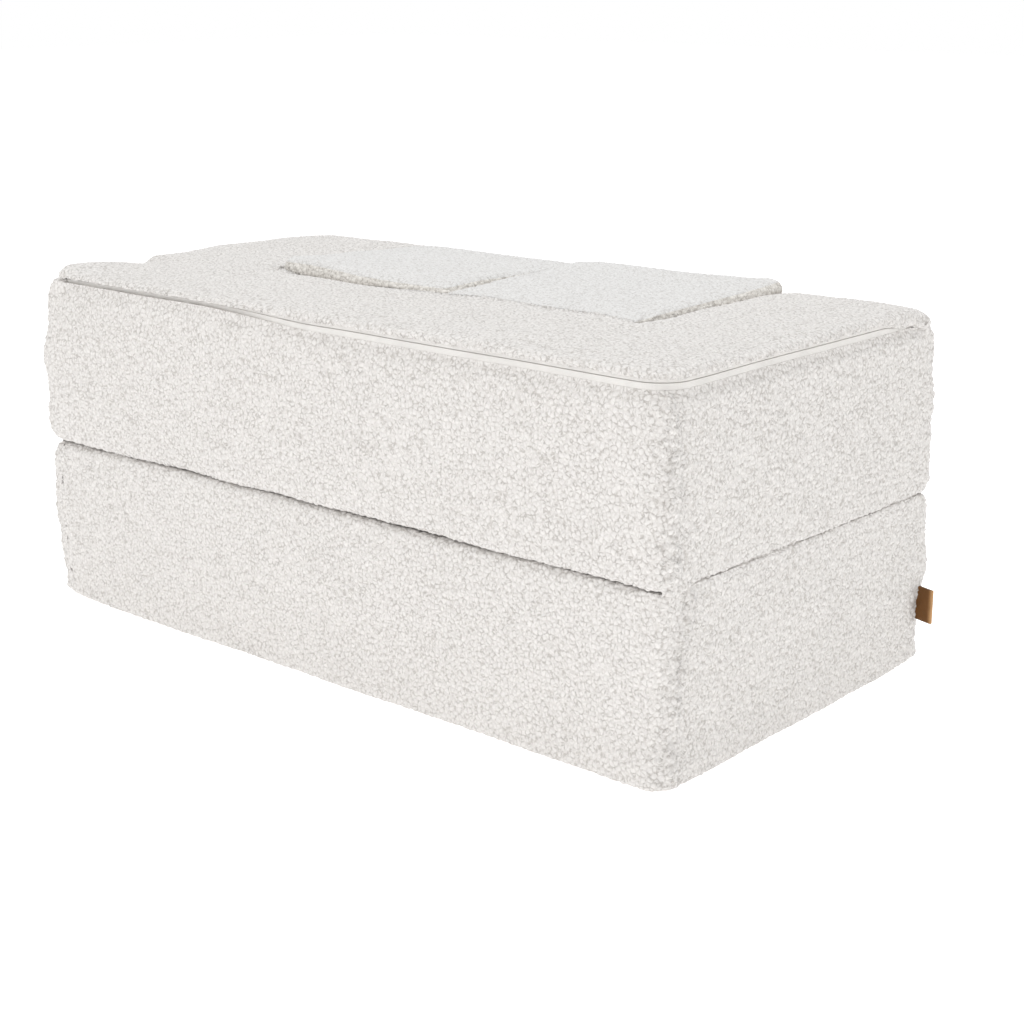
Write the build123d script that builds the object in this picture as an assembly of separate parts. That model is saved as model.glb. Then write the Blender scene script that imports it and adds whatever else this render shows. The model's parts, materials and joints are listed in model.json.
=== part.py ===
from build123d import *
import os
from math import sqrt

# A children's fold-out sofa of covered foam, folded shut into one long block and seen from behind.
# The lower block is the seat base. The upper block is a U of back and arms, called the surround,
# which is hinged to the base by a fabric strip along the right-hand end and swings over to lie
# beside it. Two loose seat inserts fill the U and pull out through its open front.
# +X runs along the back to the hinged end, +Y points to the open front and +Z is up.
# The origin is on the floor, under the middle of the base. All sizes are in millimetres.

# The two blocks, measured over their covers
block_length = 840.0
block_depth = 438.0
base_height = 180.0
surround_height = 189.0
layer_gap = 0.4
arm_width = 172.0
back_thickness = 178.0

# Seat inserts, which lean a little in their places
insert_gap = 0.8
insert_play = 10.0
insert_drop = 1.0
insert_lean = 2.3

# Soft outline of every covered block
seam_draw = 3.0
edge_round = 11.0
corner_round = 14.0
insert_corner_round = 14.0
cavity_round = 6.0
crown_rise = 3.0
crown_reach = 42.0

# Covers and foam
cover_thickness = 5.0
foam_gap = 0.3
foam_relief = 6.0

# Zips, with two tapes that meet over a hidden coil
zip_height_share = 0.94
zip_depth = 2.0
zip_slit = 0.5
zip_tape_width = 5.8
zip_tape_thickness = 0.8
zip_coil_width = 4.0
zip_coil_thickness = 1.5
zip_end_margin = 6.0
zip_far_stop = 46.0
insert_zip_end_gap = 28.0

# Zip sliders, without pulls, as on children's covers
slider_length = 13.0
slider_width = 8.0
slider_plate = 0.9
slider_loop_rise = 0.5
slider_loop_width = 3.0
slider_gap = 0.3

# Fabric hinge strip between the blocks at the right-hand end
strip_thickness = 1.6
strip_bulge = 5.0
strip_gap = 1.3

# Leather loop tag in the far right-hand upright seam of the base
tag_height = 35.0
tag_reach = 25.0
tag_sewn_in = 12.0
tag_leather = 1.4
tag_slot = 0.5
tag_middle_height = 64.0
tag_swing = 17.0

overrun = 20.0

# Worked out from the sizes above
cavity_width = block_length - 2 * arm_width
cavity_back = back_thickness - block_depth / 2
insert_width = (cavity_width - 3 * insert_gap) / 2
insert_depth = block_depth - back_thickness - insert_play
insert_height = surround_height - insert_drop
insert_zip_length = insert_width - 2 * insert_zip_end_gap
surround_low = base_height + layer_gap
surround_top = surround_low + surround_height
surround_zip_level = surround_low + zip_height_share * surround_height
foam_inset = seam_draw + cover_thickness
rounding_cut_share = 1 - sqrt(0.5)
seam_rise = edge_round * rounding_cut_share
zip_half_width = zip_slit / 2 + zip_tape_width
slider_rest = block_depth / 2 - zip_far_stop - zip_end_margin - slider_length / 2


def write(name, shape):
    export_step(shape, f"parts/{name}.step")


# Outlines, drawn in from the fullest line by an inset

def corner_at(inset, rounding):
    """The radius of an outside corner, which keeps its middle once the inset is past the seams."""
    return max(rounding - max(inset - seam_draw, 0), cavity_round)


def block_outline(inset):
    length, depth = block_length - 2 * inset, block_depth - 2 * inset
    return RectangleRounded(length, depth, corner_at(inset, corner_round))


def insert_outline(inset):
    width, depth = insert_width - 2 * inset, insert_depth - 2 * inset
    return RectangleRounded(width, depth, corner_at(inset, insert_corner_round))


def square_surround_outline(inset):
    """The outline of the U, with the inside corners of its cavity left square as foam is cut."""
    back_line = cavity_back - inset
    cavity_reach = block_depth / 2 + overrun - back_line
    cavity = Rectangle(cavity_width + 2 * inset, cavity_reach)
    outline = Rectangle(block_length - 2 * inset, block_depth - 2 * inset)
    outline -= Pos(0, back_line + cavity_reach / 2) * cavity
    outer = [v for v in outline.vertices() if abs(v.Y - back_line) > foam_relief]
    return fillet(outer, corner_at(inset, corner_round))


def surround_outline(inset):
    outline = square_surround_outline(inset)
    inner = [v for v in outline.vertices() if abs(v.Y - cavity_back + inset) < foam_relief]
    return fillet(inner, cavity_round + max(inset - seam_draw, 0))


# Solids that every block is made of

def upright(outline, low, high):
    return extrude(Pos(0, 0, low) * outline, high - low)


def soft_block(outline, low, height):
    levels = ((0, seam_draw), (height / 2, 0), (height, seam_draw))
    body = loft([Pos(0, 0, low + rise) * outline(inset) for rise, inset in levels])
    ends = body.edges().group_by(Axis.Z)
    return fillet(ends[0] + ends[-1], edge_round)


def crowned(body, outline, top):
    foot = seam_draw + edge_round
    crown = loft([
        Pos(0, 0, top) * outline(foot),
        Pos(0, 0, top + crown_rise) * outline(foot + crown_reach),
    ], ruled=True)
    return body + crown


def foam_block(outline, low, height, grow=0.0):
    shrink = cover_thickness - grow
    body = upright(outline(foam_inset - grow), low + shrink, low + height - shrink)
    ends = body.edges().group_by(Axis.Z)
    return chamfer(ends[0] + ends[-1], foam_relief)


def between(shape, low, high):
    slab = Box(block_length + overrun, block_depth + overrun, high - low)
    return shape & Pos(0, 0, (low + high) / 2) * slab


def ring(outline, outer_inset, inner_inset, low, high):
    return upright(outline(outer_inset), low, high) - upright(outline(inner_inset), low, high)


def wedge(points, low, high):
    return extrude(Pos(0, 0, low) * make_face(Polyline(*points, close=True)), high - low)


# Panels of a cover, which meet in the upright seams at the corners

def corner_points(side, reach):
    """Points of the slanted cuts through the four corners of a block, out by the overrun and in by reach."""
    half_length, half_depth = block_length / 2, block_depth / 2
    out = {
        "rear": ((-1, -1), (1, -1)),
        "right": ((1, -1), (1, 1)),
        "front": ((1, 1), (-1, 1)),
        "left": ((-1, 1), (-1, -1)),
    }[side]
    far = [(x * (half_length + overrun), y * (half_depth + overrun)) for x, y in out]
    near = [(x * (half_length - reach), y * (half_depth - reach)) for x, y in reversed(out)]
    return far + near


def side_panels(shell, sides, reach, low, high):
    return {side: shell & wedge(corner_points(side, reach), low, high) for side in sides}


# Zips

def zip_run():
    """The stretch of a block's outline that its zip follows: the rear and the right-hand end."""
    reach = seam_draw + edge_round + 2 * zip_half_width + zip_end_margin
    tall = 2 * (surround_top + overrun)
    rear_length = block_length + overrun - corner_round
    rear = Pos((overrun + corner_round) / 2, -block_depth / 2) * Box(rear_length, 2 * reach, tall)
    end_length = block_depth + overrun - zip_far_stop
    end = Pos(block_length / 2, -(overrun + zip_far_stop) / 2) * Box(2 * reach, end_length, tall)
    return rear + end


def side_zip(outline, level, run):
    """Upper tape, lower tape and coil of a zip in the side of a block, and the slot that they fill."""
    face = seam_draw + zip_depth
    back = face + zip_tape_thickness
    half_slit = zip_slit / 2
    upper = ring(outline, face, back, level + half_slit, level + zip_half_width) & run
    lower = ring(outline, face, back, level - zip_half_width, level - half_slit) & run
    half_coil = zip_coil_width / 2
    coil = ring(outline, back, back + zip_coil_thickness, level - half_coil, level + half_coil) & run
    slot = ring(outline, -overrun / 2, foam_inset, level - zip_half_width, level + zip_half_width) & run
    return upper, lower, coil, slot


def underside_zip(outline, run):
    """Outer tape, inner tape and coil of a zip that lies in the underside, and the slot that they fill."""
    middle = seam_draw + edge_round + zip_half_width
    low, high = zip_depth, zip_depth + zip_tape_thickness
    outer = ring(outline, middle - zip_half_width, middle - zip_slit / 2, low, high) & run
    inner = ring(outline, middle + zip_slit / 2, middle + zip_half_width, low, high) & run
    half_coil = zip_coil_width / 2
    coil = ring(outline, middle - half_coil, middle + half_coil, high, high + zip_coil_thickness) & run
    slot = ring(outline, middle - zip_half_width, middle + zip_half_width, 0, cover_thickness) & run
    return outer, inner, coil, slot


def slider():
    """A flat slider that travels along X and faces +Z, with the low loop that a pull would hang from."""
    plate = extrude(SlotOverall(slider_length, slider_width), slider_plate)
    loop = Box(slider_length / 2, slider_loop_width, slider_plate + slider_loop_rise)
    loop = fillet(loop.edges().group_by(Axis.Z)[-1], slider_loop_rise / 2)
    return plate + Pos(0, 0, (slider_plate + slider_loop_rise) / 2) * loop


# The lower block

def build_base(run):
    shell = soft_block(block_outline, 0, base_height)
    hollow = foam_block(block_outline, 0, base_height, foam_gap)
    shell -= hollow
    top_seam = base_height - seam_rise
    write("base_foam_core", foam_block(block_outline, 0, base_height))
    write("base_cover_top_panel", between(shell, top_seam, base_height + overrun))

    outer_tape, inner_tape, coil, slot = underside_zip(block_outline, run)
    bottom_inset = seam_draw + edge_round + zip_half_width
    plate = upright(block_outline(bottom_inset), 0, cover_thickness)
    write("base_cover_bottom_panel", (shell & plate) - slot)
    walls = between(shell, -overrun, top_seam) - plate - slot
    panels = side_panels(walls, ("rear", "right", "front", "left"), block_depth / 4, 0, top_seam)
    for side, panel in panels.items():
        write(f"base_cover_{side}_panel", panel)
    write("base_zip_outer_tape", outer_tape)
    write("base_zip_inner_tape", inner_tape)
    write("base_zip_coil", coil)

    place = Pos(block_length / 2 - bottom_inset, slider_rest, zip_depth - slider_gap)
    write("base_zip_slider", place * Rot(180, 0, 90) * slider())


def leather_tag():
    """A strap folded in half, whose loose ends are sewn into the upright seam and whose fold points to +X."""
    thickness, length = 2 * tag_leather + tag_slot, tag_sewn_in + tag_reach
    strap = Rectangle(length, thickness)
    strap = fillet(strap.vertices().group_by(Axis.X)[-1], tag_leather)
    strap -= Pos(-tag_leather) * Rectangle(length, tag_slot)
    loop = extrude(strap, tag_height / 2, both=True)
    corner_cut = corner_round * rounding_cut_share
    seam_x, seam_y = block_length / 2 - corner_cut, block_depth / 2 - corner_cut
    place = Pos(seam_x, seam_y, tag_middle_height) * Rot(0, 0, -tag_swing)
    return place * Pos(length / 2 - tag_sewn_in) * loop


def hinge_strip():
    """The strip sewn into both edge seams, which bows out of the groove between the blocks."""
    seam_inset = seam_draw + seam_rise
    foot = block_length / 2 - seam_inset + strip_gap
    low, high = base_height - seam_rise, surround_low + seam_rise
    middle = (low + high) / 2
    outer = ThreePointArc((foot, low), (foot + strip_bulge, middle), (foot, high))
    inner_low, inner_high = low + strip_thickness, high - strip_thickness
    inner = ThreePointArc(
        (foot, inner_high), (foot + strip_bulge - strip_thickness, middle), (foot, inner_low))
    ends = Line((foot, high), (foot, inner_high)) + Line((foot, inner_low), (foot, low))
    section = make_face(Curve() + outer + inner + ends)
    length = block_depth - 2 * corner_round
    return extrude(Plane.XZ.offset(length / 2) * section, -length)


# The upper block

def build_surround(run):
    low, top = surround_low, surround_top
    shell = crowned(soft_block(surround_outline, low, surround_height), surround_outline, top)

    foam = foam_block(square_surround_outline, low, surround_height)
    shell -= foam_block(square_surround_outline, low, surround_height, foam_gap)
    foam_line = cavity_back - foam_inset
    back_box = Box(block_length, block_depth, 2 * top)
    back_box = Pos(0, foam_line - block_depth / 2, top) * back_box
    arm_box = Box(block_length, block_depth, 2 * top)
    arm_box = Pos(block_length / 2, foam_line + block_depth / 2, top) * arm_box
    write("surround_foam_back", foam & back_box)
    write("surround_foam_right_arm", foam & arm_box)
    write("surround_foam_left_arm", foam & arm_box.mirror(Plane.YZ))

    upper_tape, lower_tape, coil, slot = side_zip(surround_outline, surround_zip_level, run)
    write("surround_cover_top_panel", between(shell, surround_zip_level, top + overrun) - slot)
    bottom_seam = low + seam_rise
    write("surround_cover_bottom_panel", between(shell, low - overrun, bottom_seam))
    walls = between(shell, bottom_seam, surround_zip_level) - slot
    reach = arm_width / 2
    panels = side_panels(walls, ("rear", "right", "left"), reach, bottom_seam, surround_zip_level)
    for side, panel in panels.items():
        write(f"surround_cover_{side}_panel", panel)
        walls -= panel
    half_length, half_depth = block_length / 2, block_depth / 2
    for side, sign in (("left", -1), ("right", 1)):
        front = wedge((
            (sign * (half_length + overrun), half_depth + overrun),
            (sign * (half_length - reach), half_depth - reach),
            (sign * (cavity_width / 2 - overrun), half_depth + overrun),
        ), bottom_seam, surround_zip_level)
        panel = walls & front
        write(f"surround_cover_{side}_arm_front", panel)
        walls -= front
    write("surround_cover_cavity_lining", walls)
    write("surround_zip_upper_tape", upper_tape)
    write("surround_zip_lower_tape", lower_tape)
    write("surround_zip_coil", coil)

    face = block_length / 2 - seam_draw - zip_depth + slider_gap
    write("surround_zip_slider", Pos(face, slider_rest, surround_zip_level) * Rot(90, 90, 0) * slider())


# The two loose inserts

def build_inserts():
    shell = crowned(soft_block(insert_outline, 0, insert_height), insert_outline, insert_height)
    body = shell
    foam = foam_block(insert_outline, 0, insert_height)
    shell = shell - foam_block(insert_outline, 0, insert_height, foam_gap)
    top_seam, bottom_seam = insert_height - seam_rise, seam_rise
    level = insert_height / 2
    run = Pos(0, -insert_depth / 2, level) * Box(insert_zip_length, 2 * foam_inset + overrun, level)
    upper_tape, lower_tape, coil, slot = side_zip(insert_outline, level, run)
    along = insert_zip_length / 2 - slider_length / 2 - zip_end_margin
    face = -insert_depth / 2 + seam_draw + zip_depth - slider_gap
    pieces = {
        "foam_core": foam,
        "cover_top_panel": between(shell, top_seam, insert_height + overrun),
        "cover_side_band": between(shell, bottom_seam, top_seam) - slot,
        "cover_bottom_panel": between(shell, -overrun, bottom_seam),
        "zip_upper_tape": upper_tape,
        "zip_lower_tape": lower_tape,
        "zip_coil": coil,
        "zip_slider": Pos(along, face, level) * Rot(90, 0, 0) * slider(),
    }
    for side, sign in (("left", -1), ("right", 1)):
        # The left insert's near edge rides up and the right insert's far edge does
        leaning = Rot(sign * insert_lean, 0, 0)
        box = (leaning * body).bounding_box()
        across = sign * (insert_width + insert_gap) / 2
        back_gap = cavity_back + insert_gap - box.min.Y
        front_gap = block_depth / 2 - box.max.Y
        slack = front_gap if sign < 0 else back_gap
        place = Pos(across, slack, surround_low - box.min.Z) * leaning
        for name, piece in pieces.items():
            write(f"{side}_insert_{name}", place * piece)


os.makedirs("parts", exist_ok=True)
rear_and_end = zip_run()
build_base(rear_and_end)
write("leather_loop_tag", leather_tag() - soft_block(block_outline, 0, base_height))
write("fold_hinge_strip", hinge_strip())
build_surround(rear_and_end)
build_inserts()
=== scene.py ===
import json
import math

import bpy
import numpy as np
from mathutils import Matrix, Vector

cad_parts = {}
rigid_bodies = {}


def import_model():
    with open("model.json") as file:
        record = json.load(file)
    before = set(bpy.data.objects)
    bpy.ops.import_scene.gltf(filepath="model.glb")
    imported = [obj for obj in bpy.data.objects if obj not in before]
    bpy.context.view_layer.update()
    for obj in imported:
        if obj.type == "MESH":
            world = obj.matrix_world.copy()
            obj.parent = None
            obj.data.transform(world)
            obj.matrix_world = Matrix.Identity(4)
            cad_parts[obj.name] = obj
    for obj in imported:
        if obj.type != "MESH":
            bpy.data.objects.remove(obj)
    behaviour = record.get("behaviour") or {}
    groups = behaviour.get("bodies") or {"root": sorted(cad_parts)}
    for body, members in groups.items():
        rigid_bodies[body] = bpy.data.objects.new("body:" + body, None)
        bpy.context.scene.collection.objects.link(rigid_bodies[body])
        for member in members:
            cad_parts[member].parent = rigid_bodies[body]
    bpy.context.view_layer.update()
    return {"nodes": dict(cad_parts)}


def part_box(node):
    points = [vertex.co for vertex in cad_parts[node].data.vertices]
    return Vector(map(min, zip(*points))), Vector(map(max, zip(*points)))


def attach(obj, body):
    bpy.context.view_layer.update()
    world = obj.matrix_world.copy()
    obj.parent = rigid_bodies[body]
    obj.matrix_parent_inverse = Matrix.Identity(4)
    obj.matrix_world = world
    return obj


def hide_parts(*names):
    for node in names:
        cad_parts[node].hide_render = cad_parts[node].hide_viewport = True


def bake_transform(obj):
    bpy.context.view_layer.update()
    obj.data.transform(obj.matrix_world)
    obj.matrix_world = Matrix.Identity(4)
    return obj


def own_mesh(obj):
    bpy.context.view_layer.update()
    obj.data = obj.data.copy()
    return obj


for leftover in list(bpy.data.objects):
    bpy.data.objects.remove(leftover)

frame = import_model()
mm = 0.001
print("frame loaded:", len(frame["nodes"]), "nodes")


# Camera, floor and light

cameraView = {
    "place": (1.344, -1.476, 0.696),
    "turn": math.radians(41.03),  # from looking along +Y towards -X
    "dip": math.radians(15.90),
    "lens": 68.4,
    "sensor": 36.0,
}
studio = {
    "floorSize": 24.0,
    "floorColor": (0.90, 0.90, 0.90, 1),
    "floorLift": 0.62,  # light of its own, so the floor stays nearly white
    "backdrop": 1.0,
    "fill": 0.60,
    "key": {"place": (-1.0, -2.3, 3.3), "aim": (0, 0, 0.2), "size": 2.0, "power": 41,
            "color": (1.0, 0.995, 0.985)},
    "side": {"place": (3.1, -0.2, 2.3), "aim": (0, 0, 0.2), "size": 2.0, "power": 14,
             "color": (1.0, 0.985, 0.955)},
    "front": {"place": (2.2, -2.7, 1.9), "aim": (0.4, -0.2, 0.2), "size": 1.2, "power": 14.5,
              "color": (1.0, 0.99, 0.975)},
    "top": {"place": (0.1, 0.6, 3.2), "aim": (0, 0, 0.3), "size": 3.0, "power": 43,
            "color": (0.94, 0.975, 1.0)},
}


def feed(tree, node, inputs):
    for name, value in inputs.items():
        if isinstance(value, bpy.types.NodeSocket):
            tree.links.new(value, node.inputs[name])
        else:
            node.inputs[name].default_value = value


def addNode(tree, kind, inputs=None, **settings):
    made = tree.nodes.new(kind)
    for name, value in settings.items():
        setattr(made, name, value)
    feed(tree, made, inputs or {})
    return made


def newMaterial(name, roughness, gloss):
    paint = bpy.data.materials.new(name)
    paint.use_nodes = True
    tree = paint.node_tree
    shader = tree.nodes["Principled BSDF"]
    feed(tree, shader, {"Roughness": roughness, "Specular IOR Level": gloss})
    return paint, tree, shader


def addPiece(name, data, material=None):
    piece = bpy.data.objects.new(name, data)
    bpy.context.scene.collection.objects.link(piece)
    if material:
        data.materials.append(material)
    return piece


def addCamera(view):
    lens = bpy.data.cameras.new("photoCamera")
    lens.lens, lens.sensor_width = view["lens"], view["sensor"]
    lens.clip_start, lens.clip_end = 0.05, 60
    camera = addPiece("photoCamera", lens)
    sinTurn, cosTurn = math.sin(view["turn"]), math.cos(view["turn"])
    sinDip, cosDip = math.sin(view["dip"]), math.cos(view["dip"])
    ahead = Vector((-sinTurn * cosDip, cosTurn * cosDip, -sinDip))
    right = Vector((cosTurn, sinTurn, 0))
    turned = Matrix((right, right.cross(ahead), -ahead)).transposed().to_4x4()
    camera.matrix_world = Matrix.Translation(view["place"]) @ turned
    bpy.context.scene.camera = camera


def addAreaLight(name, look):
    lamp = bpy.data.lights.new(name, "AREA")
    lamp.size, lamp.energy, lamp.color = look["size"], look["power"], look["color"]
    light = addPiece(name, lamp)
    light.location = look["place"]
    aim = Vector(look["aim"]) - Vector(look["place"])
    light.rotation_euler = aim.to_track_quat("-Z", "Y").to_euler()


def addBackdrop(look):
    world = bpy.data.worlds.new("studioWhite")
    bpy.context.scene.world = world
    world.use_nodes = True
    tree = world.node_tree
    tree.nodes.clear()
    seen = addNode(tree, "ShaderNodeBackground", {"Color": (1, 1, 1, 1), "Strength": look["backdrop"]})
    fill = addNode(tree, "ShaderNodeBackground", {"Color": (1, 1, 1, 1), "Strength": look["fill"]})
    rays = addNode(tree, "ShaderNodeLightPath")
    mixed = addNode(tree, "ShaderNodeMixShader",
                    {0: rays.outputs["Is Camera Ray"], 1: fill.outputs[0], 2: seen.outputs[0]})
    addNode(tree, "ShaderNodeOutputWorld", {"Surface": mixed.outputs[0]})


def addFloor(look):
    half = look["floorSize"] / 2
    mesh = bpy.data.meshes.new("studioFloor")
    mesh.from_pydata([(-half, -half, 0), (half, -half, 0), (half, half, 0), (-half, half, 0)],
                     [], [(0, 1, 2, 3)])
    paint, tree, shader = newMaterial("studioFloor", 1, 0)
    feed(tree, shader, {"Base Color": look["floorColor"], "Emission Color": (1, 1, 1, 1),
                        "Emission Strength": look["floorLift"]})
    floor = addPiece("studioFloor", mesh, paint)


addCamera(cameraView)
addBackdrop(studio)
addFloor(studio)
for lamp in ("key", "side", "front", "top"):
    addAreaLight(lamp + "Light", studio[lamp])
bpy.context.scene.view_settings.view_transform = "Standard"
print("studio ready")


# Boucle pile: one field of curls, used by the cloth's shape and by its material, where the creases also get
# painted shade

pile = {
    "curl": 4.8 * mm,  # from one curl to the next
    "drift": (0.8, 2.0, 0.6),  # noise that bends the rows of curls: scale, detail, roughness
    "wander": 0.9,
    "foot": 0.75,  # from a curl's middle to its foot and to its top, in curls
    "crest": 0.1,
    "creaseWidth": 0.22,
    "creaseSink": -0.6,
    "gapNoise": (1.25, 1.0),
    "gapSpan": (0.42, 0.66, 0.35, 1.0),  # most creases close up, the rest stay open as short gaps, sunk in the mesh and darkened by painted shade
    "lift": 1.3 * mm,  # how far curls stand out in the mesh
    "light": (0.735, 0.712, 0.692, 1),
    # the colour of the painted shade in the creases between curls
    "shade": (0.30, 0.27, 0.24, 1),
    "fibre": (700.0, 3.0, 0.7),
    "fibreTone": (0.3, 0.7, 0.92, 1.06),
    "fibreRise": 0.35,
    "bump": 1.6 * mm,
}


def mathsOf(tree, operation, *values):
    return addNode(tree, "ShaderNodeMath", dict(enumerate(values)), operation=operation).outputs[0]


def scaleOf(tree, vector, factor):
    return addNode(tree, "ShaderNodeVectorMath", {0: vector, "Scale": factor}, operation="SCALE").outputs[0]


def mapped(tree, value, fromLow, fromHigh, low=0.0, high=1.0, ease="LINEAR"):
    span = {"Value": value, "From Min": fromLow, "From Max": fromHigh, "To Min": low, "To Max": high}
    return addNode(tree, "ShaderNodeMapRange", span, interpolation_type=ease).outputs["Result"]


def noiseOf(tree, place, scale, detail, roughness=0.5):
    return addNode(tree, "ShaderNodeTexNoise", {"Vector": place, "Scale": scale, "Detail": detail,
                                                "Roughness": roughness}).outputs


def cellsOf(tree, place, scale, feature):
    return addNode(tree, "ShaderNodeTexVoronoi", {"Vector": place, "Scale": scale},
                   feature=feature).outputs["Distance"]


def placeOf(tree):
    return addNode(tree, "ShaderNodeTexCoord").outputs["Object"]


def addBump(tree, shader, height, strength, distance):
    bump = addNode(tree, "ShaderNodeBump", {"Height": height, "Strength": strength, "Distance": distance})
    feed(tree, shader, {"Normal": bump.outputs["Normal"]})


def newGroup(name, kind, inputs, outputs):
    tree = bpy.data.node_groups.new(name, kind)
    for label, sort, value in inputs:
        socket = tree.interface.new_socket(label, in_out="INPUT", socket_type="NodeSocket" + sort)
        if value is not None:
            socket.default_value = value
    for label, sort in outputs:
        tree.interface.new_socket(label, in_out="OUTPUT", socket_type="NodeSocket" + sort)
    return tree, addNode(tree, "NodeGroupInput"), addNode(tree, "NodeGroupOutput")


def addCurlField(tree, place, look):
    # sockets for the height of the curls and for the creases between them
    scaled = scaleOf(tree, place, 1 / look["curl"])
    drift = noiseOf(tree, scaled, *look["drift"])["Color"]
    centred = addNode(tree, "ShaderNodeVectorMath", {0: drift, 1: (0.5, 0.5, 0.5)},
                      operation="SUBTRACT").outputs[0]
    bend = scaleOf(tree, centred, look["wander"])
    bent = addNode(tree, "ShaderNodeVectorMath", {0: scaled, 1: bend}).outputs[0]
    domes = addNode(tree, "ShaderNodeTexVoronoi", {"Vector": bent, "Scale": 1.0, "Smoothness": 0.5},
                    feature="SMOOTH_F1").outputs["Distance"]
    edges = cellsOf(tree, bent, 1.0, "DISTANCE_TO_EDGE")
    raised = mapped(tree, domes, look["foot"], look["crest"], ease="SMOOTHSTEP")
    crease = mapped(tree, edges, look["creaseWidth"], 0.0, ease="SMOOTHSTEP")
    opened = mapped(tree, noiseOf(tree, scaled, *look["gapNoise"])[0], *look["gapSpan"], "SMOOTHSTEP")
    gap = mathsOf(tree, "MULTIPLY", crease, opened)
    height = mathsOf(tree, "ADD", raised, mathsOf(tree, "MULTIPLY", gap, look["creaseSink"]))
    return height, gap


def makeBouclePile(look):
    tree, given, made = newGroup(
        "bouclePile", "ShaderNodeTree",
        [("Light", "Color", look["light"]), ("Shade", "Color", look["shade"]),
         ("Painted Crease Shade", "Float", 0.6)],
        [("Color", "Color"), ("Height", "Float")])
    place = placeOf(tree)
    height, crease = addCurlField(tree, place, look)
    fibre = noiseOf(tree, place, *look["fibre"])[0]
    # painted shade: the creases between the curls darken the colour from Light towards Shade
    deep = mathsOf(tree, "MULTIPLY", crease, given.outputs["Painted Crease Shade"])
    tones = {"Factor": deep, "A": given.outputs["Light"], "B": given.outputs["Shade"]}
    base = addNode(tree, "ShaderNodeMix", tones, data_type="RGBA")
    toned = scaleOf(tree, base.outputs["Result"], mapped(tree, fibre, *look["fibreTone"]))
    rough = mathsOf(tree, "ADD", height, mathsOf(tree, "MULTIPLY", fibre, look["fibreRise"]))
    feed(tree, made, {"Color": toned, "Height": rough})
    return tree


def makeBoucleCloth(name, group, light, depth, strength):
    cloth, tree, shader = newMaterial(name, 0.95, 0.15)
    # depth: how strongly painted shade darkens the creases between curls
    curls = addNode(tree, "ShaderNodeGroup", {"Light": light, "Painted Crease Shade": depth}, node_tree=group)
    feed(tree, shader, {"Base Color": curls.outputs["Color"], "Sheen Weight": 0.15})
    addBump(tree, shader, curls.outputs["Height"], strength, pile["bump"])
    return cloth


bouclePile = makeBouclePile(pile)
# after each light colour: the strength of the painted shade in the creases, then the bump's strength
coverBoucle = makeBoucleCloth("coverBoucle", bouclePile, pile["light"], 0.55, 0.55)
insertBoucle = makeBoucleCloth("insertBoucle", bouclePile, (0.70, 0.69, 0.68, 1), 0.42, 0.35)
bandBoucle = makeBoucleCloth("bandBoucle", bouclePile, (0.735, 0.708, 0.668, 1), 0.60, 0.55)


def makeCurlLift(look):
    # geometry nodes that push the cloth out along its normals by the same field of curls
    tree, given, made = newGroup("curlLift", "GeometryNodeTree", [("Geometry", "Geometry", None)],
                                 [("Geometry", "Geometry")])
    place = addNode(tree, "GeometryNodeInputPosition").outputs[0]
    height, _ = addCurlField(tree, place, look)
    normal = addNode(tree, "GeometryNodeInputNormal").outputs[0]
    push = scaleOf(tree, normal, mathsOf(tree, "MULTIPLY", height, look["lift"]))
    moved = addNode(tree, "GeometryNodeSetPosition", {"Geometry": given.outputs[0], "Offset": push})
    feed(tree, made, {0: moved.outputs[0]})
    return tree


curlLift = makeCurlLift(pile)
print("boucle ready")


def addSpots(tree, scale, detail, low, high):
    # a noise between two values, in the object's own coordinates
    return mapped(tree, noiseOf(tree, placeOf(tree), scale, detail)[0], 0.3, 0.7, low, high)


def addWeave(tree, thread):
    # plain weave: the height of crossing threads
    parts = addNode(tree, "ShaderNodeSeparateXYZ", {0: placeOf(tree)}).outputs
    waves = [mathsOf(tree, "SINE", mathsOf(tree, "MULTIPLY", part, math.pi / thread)) for part in parts]
    return mathsOf(tree, "ADD", mathsOf(tree, "MULTIPLY", waves[0], waves[1]), waves[2])


def makeWovenCloth(name, color, thread, depth):
    cloth, tree, shader = newMaterial(name, 0.85, 0.2)
    weave = addWeave(tree, thread)
    lit = mapped(tree, weave, -1.5, 1.5, 0.93, 1.03)
    both = mathsOf(tree, "MULTIPLY", lit, addSpots(tree, 45.0, 3.0, 0.96, 1.03))
    feed(tree, shader, {"Base Color": scaleOf(tree, color, both)})
    addBump(tree, shader, weave, 0.6, depth)
    return cloth


def makePlastic(name, color, roughness, gloss, bumpScale):
    paint, tree, shader = newMaterial(name, roughness, gloss)
    tone = addSpots(tree, 300.0, 3.0, 0.95, 1.03)
    worn = addSpots(tree, 700.0, 2.0, roughness * 0.85, roughness * 1.15)
    feed(tree, shader, {"Base Color": scaleOf(tree, color, tone), "Roughness": worn})
    addBump(tree, shader, addSpots(tree, bumpScale, 2.0, 0.0, 1.0), 0.3, 0.1 * mm)
    return paint


def makeFoamCells(color):
    foam, tree, shader = newMaterial("foamCells", 0.95, 0.1)
    cells = cellsOf(tree, placeOf(tree), 900.0, "F1")
    # the colour darkens towards each cell's middle, where the bump sinks in: painted shade in the pores
    feed(tree, shader, {"Base Color": scaleOf(tree, color, mapped(tree, cells, 0.0, 1.0, 0.78, 1.04))})
    addBump(tree, shader, cells, 0.5, 0.5 * mm)
    return foam


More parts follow.
